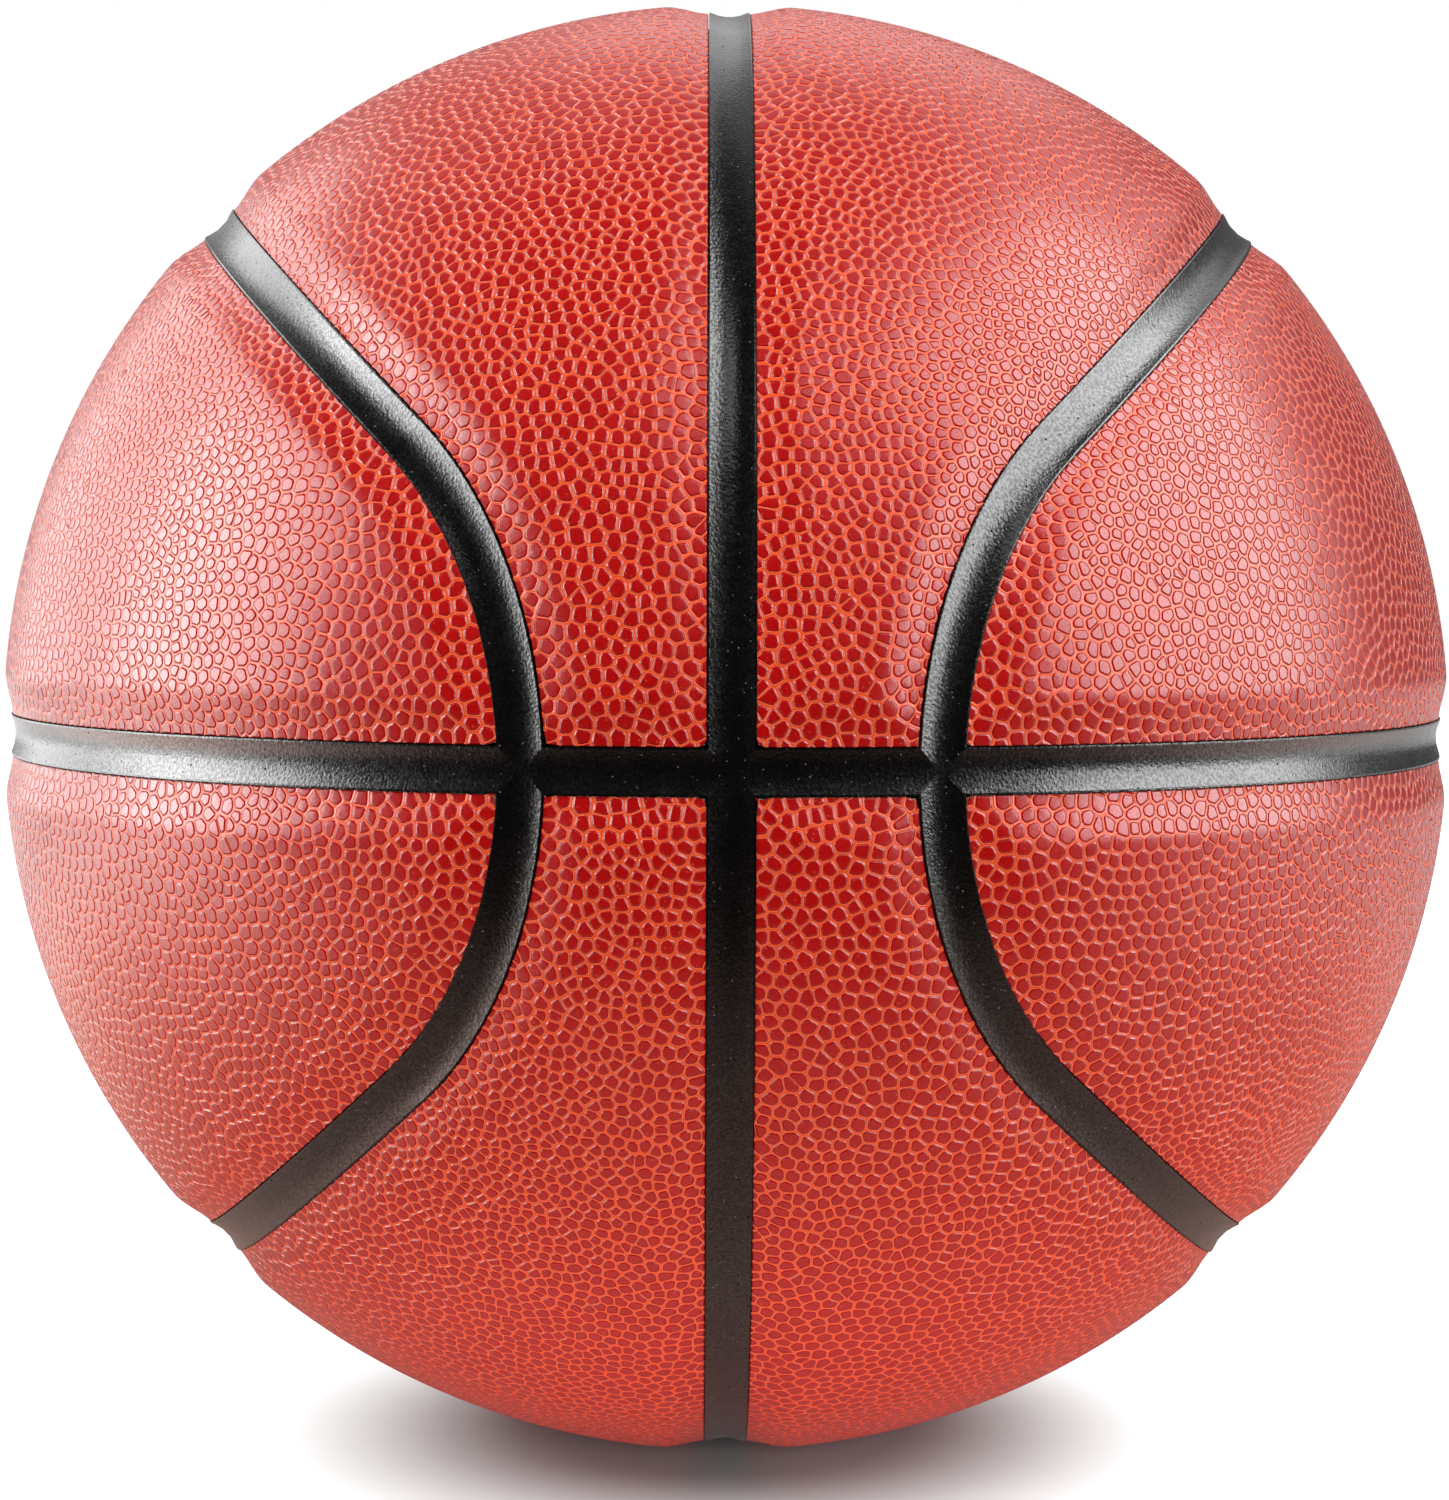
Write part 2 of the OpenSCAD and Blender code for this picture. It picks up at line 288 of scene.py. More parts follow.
def cell_ball():
    """A ball of pebble cells. An icosphere's points are shaken and relaxed, and its triangles are
    then swapped for their dual, which has one cell round each point."""
    ball, pebbles = sizes(), bpy.context.scene.ball_pebbles
    plain_start()
    bpy.ops.mesh.primitive_ico_sphere_add(subdivisions=GRID_LEVEL, radius=ball.ball_r)
    cells = bpy.context.object
    cells.name = "cells"
    everything = np.ones(len(cells.data.polygons), bool)
    edit_faces(
        cells, everything, bpy.ops.transform.vertex_random,
        offset=pebbles.shake, uniform=1.0, normal=0.0, seed=pebbles.seed,
    )
    set_points(cells.data, unit(points_of(cells.data)) * ball.ball_r)
    for way_of, share in ((face_centres, FIRST_EASING), (face_normals, pebbles.easing)):
        edit_faces(cells, everything, bpy.ops.mesh.beautify_fill, angle_limit=math.pi)
        ease(cells.data, way_of(cells.data), share)
    edit_faces(cells, everything, bpy.ops.mesh.beautify_fill, angle_limit=math.pi)

    tree = bpy.data.node_groups.new("cell round each point", "GeometryNodeTree")
    for way in ("INPUT", "OUTPUT"):
        tree.interface.new_socket("Geometry", in_out=way, socket_type="NodeSocketGeometry")
    start, dual, end = (
        tree.nodes.new(kind) for kind in ("NodeGroupInput", "GeometryNodeDualMesh", "NodeGroupOutput")
    )
    tree.links.new(start.outputs[0], dual.inputs[0])
    tree.links.new(dual.outputs[0], end.inputs[0])
    centres, outward = face_centres(cells.data), face_normals(cells.data)
    if np.sum(centres * outward, axis=1).min() < LEAST_FACING:
        raise RuntimeError("the shaken grid has a folded triangle")
    only(cells)
    cells.modifiers.new("cells", "NODES").node_group = tree
    bpy.ops.object.modifier_apply(modifier="cells")
    corners = unit(points_of(cells.data))
    if np.abs(corners - centres).max() > 1e-4:
        raise RuntimeError("the cells' corners aren't in the order of the triangles")
    set_points(cells.data, outward * ball.ball_r)
    return cells


def pull_to_circle(ways, near, axes, heights):
    """Moves the near directions along the ball on to the circle at that height on their axis."""
    for _ in range(3):
        gap = heights - np.sum(ways[near] * axes, axis=1)
        ways[near] = unit(ways[near] + gap[:, None] * axes)


# A cut takes a point as on its plane up to this far off it
CUT_SLACK = 0.05 * MM
# A point counts as on a panel's edge up to this far off it
ON_EDGE = 0.01 * MM
# Points of the grid this near to a panel's edge or the valve's hole are moved on to it first
SNAP = 0.32 * MM
# How far the cuts reach from the middle of a channel or of the valve
CUT_REACH = 8 * MM
# How far past a corner's rounding its edges are split, so that the curve has enough points
SPLIT_REACH = 0.5 * MM
# Into how many parts an edge near a corner is split
SPLIT_PARTS = 4


def round_corners(cells, chart):
    """Splits the panel edges near a crossing into shorter ones, and moves the points in each panel's
    corners so that the corners' squares become quarter discs."""
    ball = sizes()
    offsets = np.abs(chart.distances(unit(points_of(cells.data)))) - ball.edge_at
    on_edge = np.abs(offsets) < ON_EDGE
    at_corner = np.sort(offsets, axis=0)[1] < ball.corner_r + SPLIT_REACH
    grid = bmesh.new()
    grid.from_mesh(cells.data)
    for edge in list(grid.edges):
        a, b = (vert.index for vert in edge.verts)
        if at_corner[a] and at_corner[b] and (on_edge[:, a] & on_edge[:, b]).any():
            for parts in range(SPLIT_PARTS, 1, -1):
                edge = bmesh.utils.edge_split(edge, edge.verts[0], 1 / parts)[0]
    grid.to_mesh(cells.data)
    grid.free()
    ways = unit(points_of(cells.data))
    offsets = np.abs(chart.distances(ways)) - ball.edge_at
    nearest = np.argsort(offsets, axis=0)[:2]
    two = np.take_along_axis(offsets, nearest, axis=0)
    deep = np.clip(ball.corner_r - two, 0, None)
    inside = (two.min(axis=0) > -ON_EDGE) & (deep.min(axis=0) > 0)
    shorter = deep * (deep.max(axis=0) / np.maximum(np.linalg.norm(deep, axis=0), 1e-9))
    moves = np.where(inside, deep - shorter, 0)
    tips = np.zeros_like(ways)
    small = 1e-4
    tilted = [np.abs(chart.distances(unit(ways + small * axis))) for axis in np.eye(3)]
    for k in range(2):
        rises = [
            np.take_along_axis(far, nearest, axis=0)[k] - two[k] - ball.edge_at for far in tilted
        ]
        rate = np.stack(rises, axis=1) / small
        rate -= np.sum(rate * ways, axis=1, keepdims=True) * ways
        steepness = np.maximum(np.sum(rate * rate, axis=1, keepdims=True), 1e-9)
        tips += moves[k][:, None] * rate / steepness
    set_points(cells.data, unit(ways + tips) * chart.r)


def cut_fields(cells):
    """Cuts the cells along every panel edge, drops those in the channels and in the valve's hole,
    and returns one object of cells for each field between the channels."""
    ball = sizes()
    chart = ChannelMap(ball)
    edge = ball.edge_at / chart.r
    valve_way = valve_direction()
    hole = ball.valve_hole_r / chart.r

    ways = unit(points_of(cells.data))
    signs = np.where(ways < 0, -1.0, 1.0)
    level, upright, loop = chart.distances(ways)
    for axis, distance in ((2, level), (0, upright)):
        near = np.abs(distance - ball.edge_at) < SNAP
        axes = np.zeros((near.sum(), 3))
        axes[:, axis] = signs[near, axis]
        pull_to_circle(ways, near, axes, math.sin(edge))
    at_end = chart.at_end(ways)
    beside_loop = np.abs(np.abs(loop) - ball.edge_at) < SNAP
    near = beside_loop & ~at_end
    axes = signs[near] * chart.side_normal()
    pull_to_circle(ways, near, axes, np.sign(loop[near]) * math.sin(edge))
    near = beside_loop & at_end
    axes = signs[near] * chart.end_axis()
    pull_to_circle(ways, near, axes, np.cos(chart.end_r - np.sign(loop[near]) * edge))
    from_valve = np.arccos(np.clip(ways @ valve_way, -1, 1)) * chart.r
    near = np.abs(from_valve - ball.valve_hole_r) < SNAP
    pull_to_circle(ways, near, np.tile(valve_way, (near.sum(), 1)), math.cos(hole))
    set_points(cells.data, ways * chart.r)

    def cut(pick, axis, height):
        """Cuts the faces that pick chooses by their middles, their distances to the level, the
        upright and the loop channel, and whether they lie past a loop's side."""
        centres = face_centres(cells.data)
        edit_faces(
            cells, pick(centres, chart.distances(centres), chart.at_end(centres)), bpy.ops.mesh.bisect,
            plane_co=axis * height * chart.r, plane_no=axis, threshold=CUT_SLACK,
        )

    for sign in (1, -1):
        cut(lambda c, d, e: d[0] < CUT_REACH, np.array([0, 0, 1.0]), sign * math.sin(edge))
        cut(lambda c, d, e: d[1] < CUT_REACH, np.array([1.0, 0, 0]), sign * math.sin(edge))
    for x in (1, -1):
        for other in (1, -1):
            def by_side(c, d, e):
                return (c[:, 0] * x > 0) & (c[:, 2] * other > 0) & ~e & (np.abs(d[2]) < CUT_REACH)

            def by_end(c, d, e):
                return (c[:, 0] * x > 0) & (c[:, 1] * other > 0) & e & (np.abs(d[2]) < CUT_REACH)

            for within in (1, -1):
                cut(by_side, chart.side_normal(x, other), within * math.sin(edge))
                cut(by_end, chart.end_axis(x, other), math.cos(chart.end_r - within * edge))
    cut(
        lambda c, d, e: np.arccos(np.clip(c @ valve_way, -1, 1)) * chart.r < CUT_REACH,
        valve_way, math.cos(hole),
    )
    round_corners(cells, chart)
    centres = face_centres(cells.data)
    distances = np.abs(chart.distances(centres))
    in_hole = np.arccos(np.clip(centres @ valve_way, -1, 1)) < hole
    edit_faces(
        cells, (distances < ball.edge_at).any(axis=0) | in_hole, bpy.ops.mesh.delete, type="FACE"
    )
    edit_faces(cells, np.ones(len(cells.data.polygons), bool), bpy.ops.mesh.separate, type="LOOSE")
    fields = {}
    for part in list(bpy.context.selected_objects):
        middle = unit(face_centres(part.data).mean(axis=0))
        inside = chart.distances(middle[None])[2, 0] > 0
        side = "right" if middle[0] > 0 else "left"
        half = "upper" if middle[2] > 0 else "lower"
        fields[f"{'oval' if inside else 'band'}_panel_{side}_{half}"] = part
    if len(fields) != 2 * len(PATCHES):
        raise RuntimeError(f"the cells fell into {len(fields)} fields")
    return fields


def valve_direction():
    ball = sizes()
    level = math.cos(ball.valve_height)
    return np.array([
        level * math.cos(ball.valve_azimuth),
        level * math.sin(ball.valve_azimuth),
        math.sin(ball.valve_height),
    ])


def mesh_from(name, points, corners, face_sizes):
    """A mesh from its points, its faces' corners in one row, and how many corners each face has."""
    mesh = bpy.data.meshes.new(name)
    mesh.vertices.add(len(points))
    mesh.vertices.foreach_set("co", np.asarray(points, np.float32).ravel())
    mesh.loops.add(len(corners))
    mesh.loops.foreach_set("vertex_index", np.asarray(corners, np.int32))
    mesh.polygons.add(len(face_sizes))
    starts = np.concatenate([[0], np.cumsum(face_sizes)[:-1]])
    mesh.polygons.foreach_set("loop_start", starts.astype(np.int32))
    mesh.update(calc_edges=True)
    return mesh


# Share of the shoulder's roll that starts softly at the edge; the rest rises at once
EASY_ROLL = 0.75
# How sharply the drops beside two channels give way to each other where they meet
CORNER_BLEND = 5
# The deepest a panel lies below its crown, as a share of its edge's drop
DEEPEST = 1.03


def crown_radius(chart, ways):
    """Radius of a cover panel's tops in each direction, round and rolled down at the channels, and
    the distance to the nearest channel's middle."""
    ball = sizes()
    distances = np.abs(chart.distances(ways))
    run = np.clip((distances - ball.edge_at) / (ball.crown_at - ball.edge_at), 0, 1)
    roll = EASY_ROLL * smooth_step(run) + (1 - EASY_ROLL) * np.sin(run * math.pi / 2)
    drops = ((1 - roll) * ball.edge_drop) ** CORNER_BLEND
    drop = np.sum(drops, axis=0) ** (1 / CORNER_BLEND)
    return chart.r - np.minimum(drop, DEEPEST * ball.edge_drop), distances.min(axis=0)


# The least slope of a pebble and how much wider it may be, as shares of the half valley
SLOPE_LEAST, SLOPE_MORE = 0.82, 0.36
# The widest that a slope may be, as a share of the pebble's own reach
SLOPE_MOST = 0.42
# Where a top's rounded corner starts, as a share of the cell's side, and the most of it at the rim
CORNER_START, RIM_START = 0.17, 0.4
# Width of the slope at a panel's edge, where the cell is cut, and the most of the cell it takes
RIM_SLOPE, RIM_MOST = 0.07 * MM, 0.4
# The least reach of a cell that a cut left small
LEAST_REACH = 0.05 * MM
# How far the tops lie below the crown, so that their domes stay within the ball
TOP_SINK = 0.02 * MM
# The valleys' depth at a panel's edge, as a share of the full one, and how far in it is full
EDGE_DEPTH, FULL_AT = 0.4, 5 * MM
# A pebble with this reach or more has the full dome
FULL_DOME = 1.1 * MM
# How much further in from the valley the middle of a pebble counts, in mm
MIDDLE_IN = 0.5
# Edges whose faces turn by less than this are shaded smooth
SMOOTH_TO = math.radians(9)


def pebbled_cover(cells, name, draw):
    """Turns a field of cells into a cover panel. Each cell gets a pebble: a top with rounded
    corners and a low dome, and slopes down to the middle of the valleys round it."""
    ball, pebbles = sizes(), bpy.context.scene.ball_pebbles
    chart = ChannelMap(ball)
    mesh = cells.data
    ways = unit(points_of(mesh))
    n_points, n_cells, n_corners = len(ways), len(mesh.polygons), len(mesh.loops)
    first, count = np.empty(n_cells, int), np.empty(n_cells, int)
    mesh.polygons.foreach_get("loop_start", first)
    mesh.polygons.foreach_get("loop_total", count)
    corner, rim_edge = np.empty(n_corners, int), np.empty(n_corners, int)
    mesh.loops.foreach_get("vertex_index", corner)
    mesh.loops.foreach_get("edge_index", rim_edge)
    cell = np.repeat(np.arange(n_cells), count)
    order = np.arange(n_corners)
    after = np.where(order == (first + count - 1)[cell], first[cell], order + 1)
    before = np.where(order == first[cell], (first + count - 1)[cell], order - 1)
    on_rim = (np.bincount(rim_edge, minlength=len(mesh.edges)) == 1)[rim_edge]

    start, end = ways[corner], ways[corner[after]]
    centre = unit(np.stack([np.bincount(cell, start[:, k], n_cells) for k in range(3)], axis=1))
    side = end - start
    side_length = np.maximum(np.linalg.norm(side, axis=1), 1e-7)
    height = np.linalg.norm(np.cross(centre[cell] - start, side), axis=1) / side_length * chart.r
    side_length = side_length * chart.r
    inner_r = np.bincount(cell, height * side_length, n_cells) / np.bincount(cell, side_length, n_cells)
    inner_r = np.maximum(inner_r, LEAST_REACH)

    tone = draw.random(n_cells)
    slope = pebbles.valley * (SLOPE_LEAST + SLOPE_MORE * draw.random(n_cells))
    slope = np.minimum(slope, SLOPE_MOST * inner_r)
    scale = (1 - slope / inner_r)[cell]
    at_rim = np.minimum(RIM_START, slope[cell] / side_length)
    lead = np.where(on_rim, at_rim, CORNER_START)[:, None]
    near_start, near_end = start + lead * side, end - lead * side
    rim_step = np.minimum(RIM_SLOPE / np.maximum(height, 1e-6), RIM_MOST)
    inward = np.where(on_rim, rim_step, 1 - scale)[:, None]
    top_a = unit(near_start + inward * (centre[cell] - near_start))
    top_b = unit(near_end + inward * (centre[cell] - near_end))

    crown, clear = crown_radius(chart, ways)
    fade = EDGE_DEPTH + (1 - EDGE_DEPTH) * smooth_step((clear - ball.edge_at) / FULL_AT)
    outline = ways * (crown - pebbles.relief * fade)[:, None]
    tops = [w * (crown_radius(chart, w)[0] - TOP_SINK)[:, None] for w in (top_a, top_b)]
    swell = pebbles.dome * np.minimum(1, inner_r / FULL_DOME)
    middle = centre * (crown_radius(chart, centre)[0] + swell - TOP_SINK)[:, None]
    underside = ways * ball.cover_in
    points = np.concatenate([outline, tops[0], tops[1], middle, underside])
    a = n_points + order
    b = a + n_corners
    mid = n_points + 2 * n_corners + cell
    under = n_points + 2 * n_corners + n_cells

    rim = order[on_rim]
    rim_a, rim_b = corner[rim], corner[after[rim]]
    reverse = (first + count - 1)[cell] - (order - first[cell])
    groups = [
        (np.stack([corner, corner[after], b, a], axis=1), 4),
        (np.stack([corner, a, b[before]], axis=1), 3),
        (np.stack([mid, a, b], axis=1), 3),
        (np.stack([mid, b, a[after]], axis=1), 3),
        (np.stack([rim_a, under + rim_a, under + rim_b, rim_b], axis=1), 4),
    ]
    corners = np.concatenate([g.ravel() for g, _ in groups] + [under + corner[reverse]])
    face_sizes = np.concatenate([np.full(len(g), k) for g, k in groups] + [count])
    made = mesh_from(name, points, corners, face_sizes)

    foot = np.where(on_rim, RIM_SLOPE / MM, (1 - scale) * height / MM)
    notch = np.linalg.norm(start - (top_a + top_b[before]) / 2, axis=1) * chart.r / MM
    crest = np.zeros(n_corners)
    inside = -(inner_r[cell] - slope[cell]) / MM
    cell_tone = tone[cell]

    def facts(*columns):
        """Distance out from the pebble's top, distance in from the valley, and the cell's tone."""
        corners_of = [np.stack([out, into, cell_tone], axis=1) for out, into in columns]
        return np.stack(corners_of, axis=1).reshape(-1, 3)

    rows = [
        facts((foot, crest), (foot, crest), (crest, foot), (crest, foot)),
        facts((notch, crest), (crest, foot), (crest, foot)),
        facts((inside, foot + MIDDLE_IN), (crest, foot), (crest, foot)),
        facts((inside, foot + MIDDLE_IN), (crest, foot), (crest, foot)),
    ]
    rest = len(corners) - sum(len(r) for r in rows)
    rows.append(np.full((rest, 3), 0.5))
    grain = made.attributes.new("pebble", "FLOAT_VECTOR", "CORNER")
    grain.data.foreach_set("vector", np.concatenate(rows).astype(np.float32).ravel())
    # Each corner of a cell has four faces on the outside
    outer = 4 * n_corners
    material_index = (np.arange(len(face_sizes)) >= outer).astype(np.int32)
    made.polygons.foreach_set("material_index", material_index)
    made.update()

    old = cells.data
    cells.data = made
    cells.name = name
    bpy.data.meshes.remove(old)
    only(cells)
    bpy.ops.object.shade_smooth_by_angle(angle=SMOOTH_TO)
    return cells


# Materials


def set_inputs(tree, node, values):
    """Gives a node's inputs values or other nodes' sockets."""
    for key, value in values.items():
        if isinstance(value, bpy.types.NodeSocket):
            tree.links.new(value, node.inputs[key])
        else:
            node.inputs[key].default_value = value


def add(tree, kind, inputs=None, **settings):
    """Adds a node with its settings and inputs."""
    made = tree.nodes.new(kind)
    for key, value in settings.items():
        setattr(made, key, value)
    set_inputs(tree, made, inputs or {})
    return made


def calc(tree, operation, *values):
    """One step of arithmetic on numbers or sockets."""
    return add(tree, "ShaderNodeMath", dict(enumerate(values)), operation=operation).outputs[0]


def blend(tree, factor, low, high):
    """Mixes two colours."""
    mix = add(tree, "ShaderNodeMix", {0: factor, 6: low, 7: high}, data_type="RGBA")
    return mix.outputs[2]


def step(tree, value, low, high, to_low=0.0, to_high=1.0):
    """A smooth step of a value from low to high."""
    made = add(
        tree, "ShaderNodeMapRange",
        {"Value": value, "From Min": low, "From Max": high, "To Min": to_low, "To Max": to_high},
        interpolation_type="SMOOTHSTEP",
    )
    return made.outputs[0]


def noise(tree, where, size, detail=3.0, roughness=0.5):
    """Noise whose features are about that many metres across."""
    return add(
        tree, "ShaderNodeTexNoise",
        {"Vector": where, "Scale": 1 / size, "Detail": detail, "Roughness": roughness},
    ).outputs["Fac"]


def new_finish(name):
    """A material with a Principled shader, and the Object coordinates its patterns read."""
    material = bpy.data.materials.new(name)
    material.use_nodes = True
    tree = material.node_tree
    tree.nodes.clear()
    shader = add(tree, "ShaderNodeBsdfPrincipled")
    add(tree, "ShaderNodeOutputMaterial", {"Surface": shader.outputs[0]})
    where = add(tree, "ShaderNodeTexCoord").outputs["Object"]
    return material, tree, shader, where


def bump(tree, height, depth, strength=1.0, under=None):
    inputs = {"Height": height, "Distance": depth, "Strength": strength}
    if under is not None:
        inputs["Normal"] = under
    return add(tree, "ShaderNodeBump", inputs).outputs[0]


def dots(tree, where, apart, radius, share):
    """Round spots of up to that radius, one in so many cells of a scattered grid."""
    grid = {"Vector": where, "Scale": 1 / apart, "Randomness": 1.0}
    cells = add(tree, "ShaderNodeTexVoronoi", grid).outputs
    draw = add(tree, "ShaderNodeSeparateColor", {0: cells["Color"]}).outputs
    edge = calc(tree, "MULTIPLY_ADD", draw[1], 0.5 * radius / apart, 0.5 * radius / apart)
    round_spot = step(tree, calc(tree, "DIVIDE", cells["Distance"], edge), 1.1, 0.7)
    return calc(tree, "MULTIPLY", round_spot, calc(tree, "LESS_THAN", draw[0], share))


def pebbled_leather():
    # Composite leather, embossed and coated: crimson pebbles over orange valleys, with a pale band
    # painted round each pebble's shoulder as a highlight, and painted shade that darkens the bottom of
    # the narrow valleys. The tops have a satin sheen, which is weak on their slopes and comes back in
    # the valleys, and each pebble is finely mottled and scuffed. The attribute gives distances in mm.
    material, tree, shader, where = new_finish("pebbled_leather")
    paint = colours()
    grain = add(tree, "ShaderNodeAttribute", attribute_name="pebble")
    parts = add(tree, "ShaderNodeSeparateXYZ", {0: grain.outputs["Vector"]}).outputs
    mottle = noise(tree, where, 0.5 * MM, 4.0, 0.6)
    fine = noise(tree, where, 0.22 * MM, 2.0)
    out, into, cell_tone = parts
    wobble = calc(tree, "MULTIPLY_ADD", calc(tree, "SUBTRACT", mottle, 0.5), 0.1, out)

    mottled = step(tree, mottle, 0.35, 0.7)
    tone = calc(tree, "MULTIPLY_ADD", mottled, 0.5, calc(tree, "MULTIPLY", cell_tone, 0.5))
    top = blend(tree, tone, list(paint.pebble), list(paint.pebble_light))
    scuffs = calc(tree, "MULTIPLY", dots(tree, where, 0.9 * MM, 0.17 * MM, 0.55), 0.3)
    scuffed = blend(tree, scuffs, top, list(paint.pebble_highlight_and_scuff))
    past_top = step(tree, wobble, 0.085, 0.135)
    past_edge = step(tree, wobble, 0.15, 0.19)
    # Painted shade: the bottom of each narrow valley is darkened
    narrow = calc(tree, "MULTIPLY", step(tree, into, 0.07, 0.02), step(tree, out, 0.4, 0.3))
    valley = blend(tree, narrow, list(paint.valley), list(paint.valley_crease_shade))
    # Painted highlight: the pale band on each pebble's shoulder, between its top and the valley
    slope = blend(tree, past_edge, list(paint.pebble_highlight_and_scuff), valley)
    colour = blend(tree, past_top, scuffed, slope)

    top_rough = calc(tree, "MULTIPLY_ADD", fine, 0.1, 0.24)
    rough = calc(tree, "MULTIPLY_ADD", past_top, 0.07, top_rough)
    edge_shine = calc(tree, "MULTIPLY_ADD", past_edge, 0.55, 0.9)
    shine = calc(tree, "MULTIPLY_ADD", past_top, -0.6, edge_shine)

    # The bump widens the mesh's own slope into a rounded shoulder, and rises again past the
    # slope's foot, so that the valley is shaded as a flat one
    foot = 0.15
    shoulder = step(tree, wobble, foot, -0.16)
    past_foot = calc(tree, "MAXIMUM", calc(tree, "SUBTRACT", wobble, foot), 0.0)
    valley_floor = calc(tree, "MULTIPLY", past_foot, 1.5)
    relief = bump(tree, calc(tree, "ADD", shoulder, valley_floor), 0.18 * MM)
    skin = bump(tree, fine, 0.008 * MM, 0.6, relief)
    set_inputs(tree, shader, {
        "Base Color": colour, "Roughness": rough, "Normal": skin,
        "Specular IOR Level": calc(tree, "MULTIPLY", shine, step(tree, fine, 0.3, 0.7, 0.8, 1.2)),
    })
    return material


def cover_backing():
    # Undyed microfibre felt, matt and slightly fuzzy, with a faint clouding of the fibres.
    material, tree, shader, where = new_finish("cover_backing")
    cloud = noise(tree, where, 3 * MM, 4.0)
    fibre = noise(tree, where, 0.15 * MM, 2.0)
    base = list(colours().backing)
    colour = blend(tree, step(tree, cloud, 0.3, 0.7), base, shade(base, 0.8))
    set_inputs(tree, shader, {
        "Base Color": colour, "Roughness": calc(tree, "MULTIPLY_ADD", fibre, 0.15, 0.8),
        "Normal": bump(tree, fibre, 0.05 * MM, 0.6), "Sheen Weight": 0.15,
    })
    return material


def rubber(name, code, gloss, specks):
    # Moulded rubber: near black and satin. A grain breaks up its soft highlights, drawn coarser
    # than the real one so that it shows, and it has small black pits and pale specks of dust.
    material, tree, shader, where = new_finish(name)
    wander = noise(tree, where, 5 * MM, 3.0)
    grain = noise(tree, where, 0.42 * MM, 1.0, 0.6)
    pits = dots(tree, where, 1.3 * MM, 0.2 * MM, 0.4)
    dust = calc(tree, "MULTIPLY", dots(tree, where, 0.8 * MM, 0.13 * MM, 0.35), specks)
    base = list(code)
    pale = [min(1.0, c * 2 + 0.2) for c in base[:3]] + [1.0]
    colour = blend(tree, dust, base, pale)
    rough = calc(tree, "MULTIPLY_ADD", grain, 0.16, calc(tree, "MULTIPLY_ADD", wander, 0.12, gloss))
    grain_shine = step(tree, grain, 0.33, 0.67, 0.42, 0.82)
    shine = calc(tree, "MULTIPLY", grain_shine, calc(tree, "SUBTRACT", 1.0, pits))
    dents = bump(tree, grain, 0.07 * MM, 0.8)
    set_inputs(tree, shader, {
        "Base Color": colour, "Roughness": rough, "Specular IOR Level": shine, "IOR": 1.66,
        "Normal": bump(tree, pits, -0.05 * MM, 0.6, dents),
    })
    return material


def wound_nylon():
    # Thread wound round and round in every direction and dipped in latex: crossing ridges, off-white,
    # with a dull sheen, and painted shade that darkens the grooves between the ridges. The ridges are
    # drawn wider than single threads.
    material, tree, shader, where = new_finish("wound_nylon")
    ridges = None
    for turn in ((0.3, 0.2, 0), (1.4, 0.5, 0.8), (0.6, 2.1, 1.7)):
        turned = add(tree, "ShaderNodeMapping", {"Vector": where, "Rotation": turn}).outputs[0]
        wave = add(
            tree, "ShaderNodeTexWave",
            {"Vector": turned, "Scale": 1 / (6 * MM), "Distortion": 1.5, "Detail": 1.0},
        ).outputs["Fac"]
        ridges = wave if ridges is None else calc(tree, "MAXIMUM", ridges, wave)
    base = list(colours().nylon)
    # Painted shade: the grooves between the ridges are darker
    colour = blend(tree, ridges, shade(base, 0.72), base)
    set_inputs(tree, shader, {
        "Base Color": colour, "Roughness": calc(tree, "MULTIPLY_ADD", ridges, -0.15, 0.65),
        "Normal": bump(tree, ridges, 0.15 * MM, 0.8), "Sheen Weight": 0.1,
    })
    return material


def sponge_rubber():
    # Open foam rubber: cream, dull, and full of small round cells, whose bottoms are painted darker as
    # shade.
    material, tree, shader, where = new_finish("sponge_rubber")
    pores = add(tree, "ShaderNodeTexVoronoi", {"Vector": where, "Scale": 1 / (0.9 * MM)})
    hollow = step(tree, pores.outputs["Distance"], 0.15, 0.5)
    cloud = noise(tree, where, 8 * MM, 3.0)
    base = list(colours().sponge)
    # Painted shade: the bottom of each pore is darker
    colour = blend(tree, hollow, shade(base, 0.6), blend(tree, cloud, base, shade(base, 0.9)))
    set_inputs(tree, shader, {
        "Base Color": colour, "Roughness": calc(tree, "MULTIPLY_ADD", hollow, -0.1, 0.95),
        "Normal": bump(tree, hollow, 0.2 * MM, 0.8),
    })
    return material


# Operators


class BALL_OT_cover_panels(bpy.types.Operator):
    """Models the eight pebbled cover panels from one ball of cells"""

    bl_idname = "ball.cover_panels"
    bl_label = "Cover panels"

    def execute(self, context):
        leather, backing = pebbled_leather(), cover_backing()
        draw = np.random.RandomState(context.scene.ball_pebbles.seed)
        for node, cells in sorted(cut_fields(cell_ball()).items()):
            cover = pebbled_cover(cells, node.replace("panel", "cover"), draw)
            cover.data.materials.append(leather)
            cover.data.materials.append(backing)
            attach(cover, "root")
            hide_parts(node)
        return {"FINISHED"}


